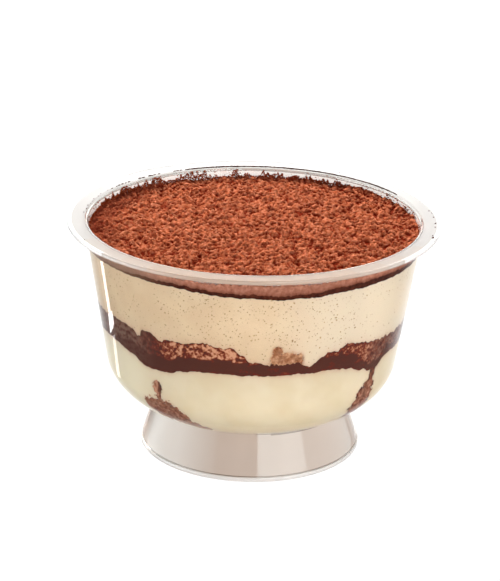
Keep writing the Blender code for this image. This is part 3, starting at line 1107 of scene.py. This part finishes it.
def wallSpots():
    # loose specks that cling to the inside of the wall above the cocoa
    spots = []
    while len(spots) < grains["onWall"]:
        azimuth = rng.uniform(-180, 180)
        back = 0.5 - 0.5 * math.cos(math.radians(azimuth))
        place = onInnerWall(azimuth, 59 * mm, 0)
        patchy = rough(*place, 5 * mm, 31)
        if rng.random() > (0.2 + 0.8 * back) * (0.5 + 1.2 * patchy):
            continue
        z = edgeHeight(azimuth) + rng.expovariate(1 / (0.9 * mm))
        if z > cupTop - cup["bead"] - 0.3 * mm:
            continue
        wide = rng.uniform(*grains["wallSizes"]) * mm
        size = (wide, wide * rng.uniform(0.6, 1.3), wide * rng.uniform(0.7, 1.5))
        spots.append((onInnerWall(azimuth, z, 0.3 * wide), size, anyTurn(), rng.uniform(0.2, 0.9)))
    return spots


def mouthSpots():
    # a fine line of dust caught along the edge of the mouth
    spots = []
    flat = cupTop - cup["bead"]
    edge = wallRadius(flat, cup["wall"]) + cup["mouthRound"]
    while len(spots) < grains["onMouth"]:
        azimuth = rng.uniform(-180, 180)
        away = abs(turnApart(azimuth, 165))
        share = 1 - easeIn(32, 48, away)
        if azimuth < 0:
            share = max(share, 0.14 - 0.14 * easeIn(60, 80, away))
        if rng.random() > share:
            continue
        wide = rng.uniform(*grains["mouthSizes"]) * mm
        place = Vector(atTurn(azimuth, edge + rng.gauss(-0.05, 0.06) * mm, flat + 0.05 * mm))
        spots.append((place, (wide * 2.6, wide, wide), (0, 0, math.radians(azimuth)), rng.uniform(0.7, 1)))
    return spots


def rimSpots():
    spots = []
    flat = cupTop - cup["bead"]
    for azimuth, inside, wide in grains["onRim"]:
        wide *= mm
        place = Vector(atTurn(azimuth, rimRadius - inside * mm, flat + 0.05 * wide))
        size = (wide * 1.2, wide, min(wide, 0.35 * mm))
        spots.append((place, size, (0, 0, math.radians(azimuth)), rng.uniform(0.2, 0.9)))
    return spots


for name, shapes, spots, grainLook in (
    ("cocoaGrains", pebbles, topSpots(), dryCocoa),
    ("fringeGrains", smallPebbles, fringeSpots(), fringeCocoa),
    ("wallGrains", smallPebbles, wallSpots(), fringeCocoa),
    ("mouthDust", smallPebbles, mouthSpots(), dampCocoa),
    ("rimGrains", pebbles, rimSpots(), dampCocoa),
):
    finishPiece(strew(name, shapes, spots), [grainLook], "dry_cocoa")
print("cocoa grains done")


def speckSpots():
    # vanilla specks in the upper cream, against the wall
    spots = []
    while len(spots) < cream["speckCount"]:
        azimuth = rng.uniform(-180, 180)
        z = rng.uniform(36, 54.6) * mm
        place = onInnerWall(azimuth, z, -layers["reach"] - 0.01 * mm)
        if not spongeTopAt(place.x, place.y) + 0.5 * mm < z < dampBottomAt(place.x, place.y):
            continue
        if blobField(azimuth, z, bits["crumb"]) > 0.5:
            continue
        clear = math.exp(-((azimuth - 2) / 4) ** 2 - ((z / mm - 40) / 2.5) ** 2)
        fewer = 0.45 * easeIn(20, 45, abs(azimuth)) + 0.8 * clear
        if rng.random() > 0.75 - fewer + 0.8 * rough(*place, 6 * mm, 41):
            continue
        wide = (0.18 + 0.3 * rng.random() ** 3) * mm
        size = (wide, 0.09 * mm, wide * rng.uniform(0.6, 1.4))
        spots.append((place, size, (0, rng.uniform(0, 3), math.radians(azimuth)), 0))
    return spots


specks = strew("vanillaSpecks", smallPebbles, speckSpots())
speckLook, speckTree, speckShader = newLook("vanillaSpeck", cream["speckColour"], 0.6)
speckTone = ramp(
    speckTree, speckle(speckTree, 0.8 * mm, 2),
    [(0.35, cream["darkSpeckColour"]), (0.65, cream["speckColour"])],
)
speckTree.links.new(speckTone, speckShader.inputs["Base Color"])
finishPiece(specks, [speckLook], "vanilla_cream")
print("specks done")


# ---- floor, lights and camera

stage = {
    "floorGlow": 0.97,
    "sky": 0.27,
    "throughPlastic": 0.9,
    "mirroredFront": 0.15,
    "mirroredBehind": 1.1,
    "key": 21.0,
    "fill": 4.4,
    "front": 2.5,
}


def glowLook(name, strength, body=0, stops=None, tint=(1, 1, 1)):
    # an even glow, or one that changes along the panel as the stops say
    look, tree, shader = newLook(
        name, (body, body, body), 1,
        Specular_IOR_Level=0, Emission_Color=(*tint, 1), Emission_Strength=strength,
    )
    if stops:
        across = addNode(tree, "SeparateXYZ")
        tree.links.new(addNode(tree, "TexCoord").outputs["UV"], across.inputs[0])
        glow = ramp(tree, across.outputs[0], [(at, [share * part for part in tint]) for at, share in stops])
        tree.links.new(glow, shader.inputs["Emission Color"])
    return look


pickNothing()
bpy.ops.mesh.primitive_plane_add(size=6, location=(0, 0, -0.05 * mm))
floor = named(bpy.context.object, "paleFloor")
floor.data.materials.append(glowLook("paleFloor", stage["floorGlow"], 0.12))
floor.visible_glossy = False


def card(name, corners, strength, stops=None, tint=(1, 1, 1)):
    # a panel that only the plastic's reflections see: low start, low end, high start, high end
    pickNothing()
    bpy.ops.mesh.primitive_plane_add(size=1)
    panel = named(bpy.context.object, name)
    for point, corner in zip(panel.data.vertices, corners):
        point.co = corner
    panel.data.materials.append(glowLook(name, strength, 0, stops, tint))
    for ray in ("camera", "diffuse", "transmission", "volume_scatter", "shadow"):
        setattr(panel, "visible_" + ray, False)


def upright(start, end, low, high):
    return [(*start, low), (*end, low), (*start, high), (*end, high)]


coolWhite = (0.86, 0.98, 1.0)
backPanel = [(0.95, 1.6, 0.25), (0.95, 1.6, 1.1), (-0.95, 1.6, 0.25), (-0.95, 1.6, 1.1)]
card("backPanel", backPanel, 3.4, [(0.0, 1.0), (0.35, 1.0), (0.395, 0.22), (1.0, 0.16)])
card("paleLeft", upright((-0.75, 0.98), (0.1, 1.2), -0.75, -0.2), 1.25, [(0.0, 0.3), (0.4, 0.7), (1.0, 1.0)])
for name, start, end, low, strength, stops in (
    ("sidePanel", (0.132, -0.789), (0.70, -0.39), -0.1, 5.5, [(0.0, 1.0), (0.7, 0.95), (0.95, 0.9)]),
    ("farSidePanel", (0.70, -0.39), (0.85, 0.9), -0.26, 2.4, [(0.0, 0.9), (0.4, 1.0), (1.0, 0.7)]),
    (
        "leftPanel", (-0.42, -0.68), (-0.85, 0.9), -0.26, 7.2,
        [(0.0, 0.0), (0.12, 0.3), (0.36, 0.85), (0.65, 0.66), (1.0, 0.2)],
    ),
    ("farLeftPanel", (-0.85, 0.9), (-0.25, 1.35), -0.4, 1.5, [(0.0, 1.0), (0.5, 0.6), (1.0, 0.4)]),
):
    card(name, upright(start, end, low, 0.52), strength, stops, coolWhite)
strips = {  # the three parts of the bright streak down the left of the bowl
    "stripHigh": (
        4.0, (-0.153, 0.117, -0.050), (-0.1635, 0.1025, -0.052),
        (-0.1587, 0.1149, -0.0309), (-0.1688, 0.1007, -0.0327),
    ),
    "stripWide": (
        6.0, (-0.146, 0.1245, -0.0575), (-0.1680, 0.0970, -0.0580),
        (-0.1520, 0.1190, -0.0505), (-0.1690, 0.0960, -0.0525),
    ),
    "stripLow": (
        2.4, (-0.128, 0.131, -0.080), (-0.145, 0.111, -0.082),
        (-0.1515, 0.1158, -0.0590), (-0.1628, 0.1009, -0.0605),
    ),
}
for name, (strength, *corners) in strips.items():
    card(name, corners, strength)

scene = bpy.context.scene
scene.view_settings.view_transform = "Standard"
world = bpy.data.worlds.new("softWhite")
scene.world = world
world.use_nodes = True
worldTree = world.node_tree
rays = addNode(worldTree, "LightPath")
heading = addNode(worldTree, "SeparateXYZ")  # what mirrors in the plastic is dim in front, pale behind
worldTree.links.new(addNode(worldTree, "TexCoord").outputs["Generated"], heading.inputs[0])
mirrored = addNode(worldTree, "MapRange", interpolation_type="SMOOTHSTEP")
mirrorRange = (0.5, 0.95, stage["mirroredFront"], stage["mirroredBehind"])
for socket, value in zip(mirrored.inputs[1:5], mirrorRange):
    socket.default_value = value
worldTree.links.new(heading.outputs["Y"], mirrored.inputs[0])
level = stage["sky"]
for ray, value in (
    ("Is Glossy Ray", mirrored.outputs[0]),
    ("Is Transmission Ray", stage["throughPlastic"]),
    ("Is Camera Ray", 1),
):
    pickOne = addNode(worldTree, "Mix", data_type="FLOAT")
    for number, source in ((0, rays.outputs[ray]), (2, level), (3, value)):
        feed(worldTree, pickOne.inputs[number], source)
    level = pickOne.outputs[0]
worldTree.nodes["Background"].inputs[0].default_value = (1, 1, 1, 1)
worldTree.links.new(level, worldTree.nodes["Background"].inputs[1])


def areaLight(name, place, target, size, watts):
    lamp = bpy.data.lights.new(name, "AREA")
    lamp.shape = "RECTANGLE"
    lamp.size, lamp.size_y = size
    lamp.energy = watts
    holder = bpy.data.objects.new(name, lamp)
    bpy.context.collection.objects.link(holder)
    holder.location = place
    holder.rotation_euler = (Vector(target) - Vector(place)).to_track_quat("-Z", "Y").to_euler()
    holder.visible_camera = False
    holder.visible_glossy = False


areaLight("keyLight", (-0.22, 0.76, 0.56), (0, 0, 0.05), (0.18, 0.18), stage["key"])
areaLight("sideFill", (0.75, -0.6, 0.3), (0, 0, 0.04), (0.5, 0.5), stage["fill"])
areaLight("frontFill", (-0.45, -1.1, 0.16), (0, 0, 0.04), (0.9, 0.4), stage["front"])

camera = {
    "place": (0, -560 * mm, 251.05 * mm),
    "aim": (-0.65 * mm, 0, 40.86 * mm),
    "lens": 144.3,
    "roll": 1.32,
}
eye = bpy.data.cameras.new("viewCamera")
eye.lens = camera["lens"]
eye.sensor_width = 36
eye.clip_start = 0.01
eyeHolder = bpy.data.objects.new("viewCamera", eye)
bpy.context.collection.objects.link(eyeHolder)
eyeHolder.location = camera["place"]
look = Vector(camera["aim"]) - Vector(camera["place"])
eyeHolder.rotation_euler = (
    look.to_track_quat("-Z", "Y").to_matrix() @ Matrix.Rotation(math.radians(camera["roll"]), 3, "Z")
).to_euler()
scene.camera = eyeHolder
print("stage done")

pickNothing()
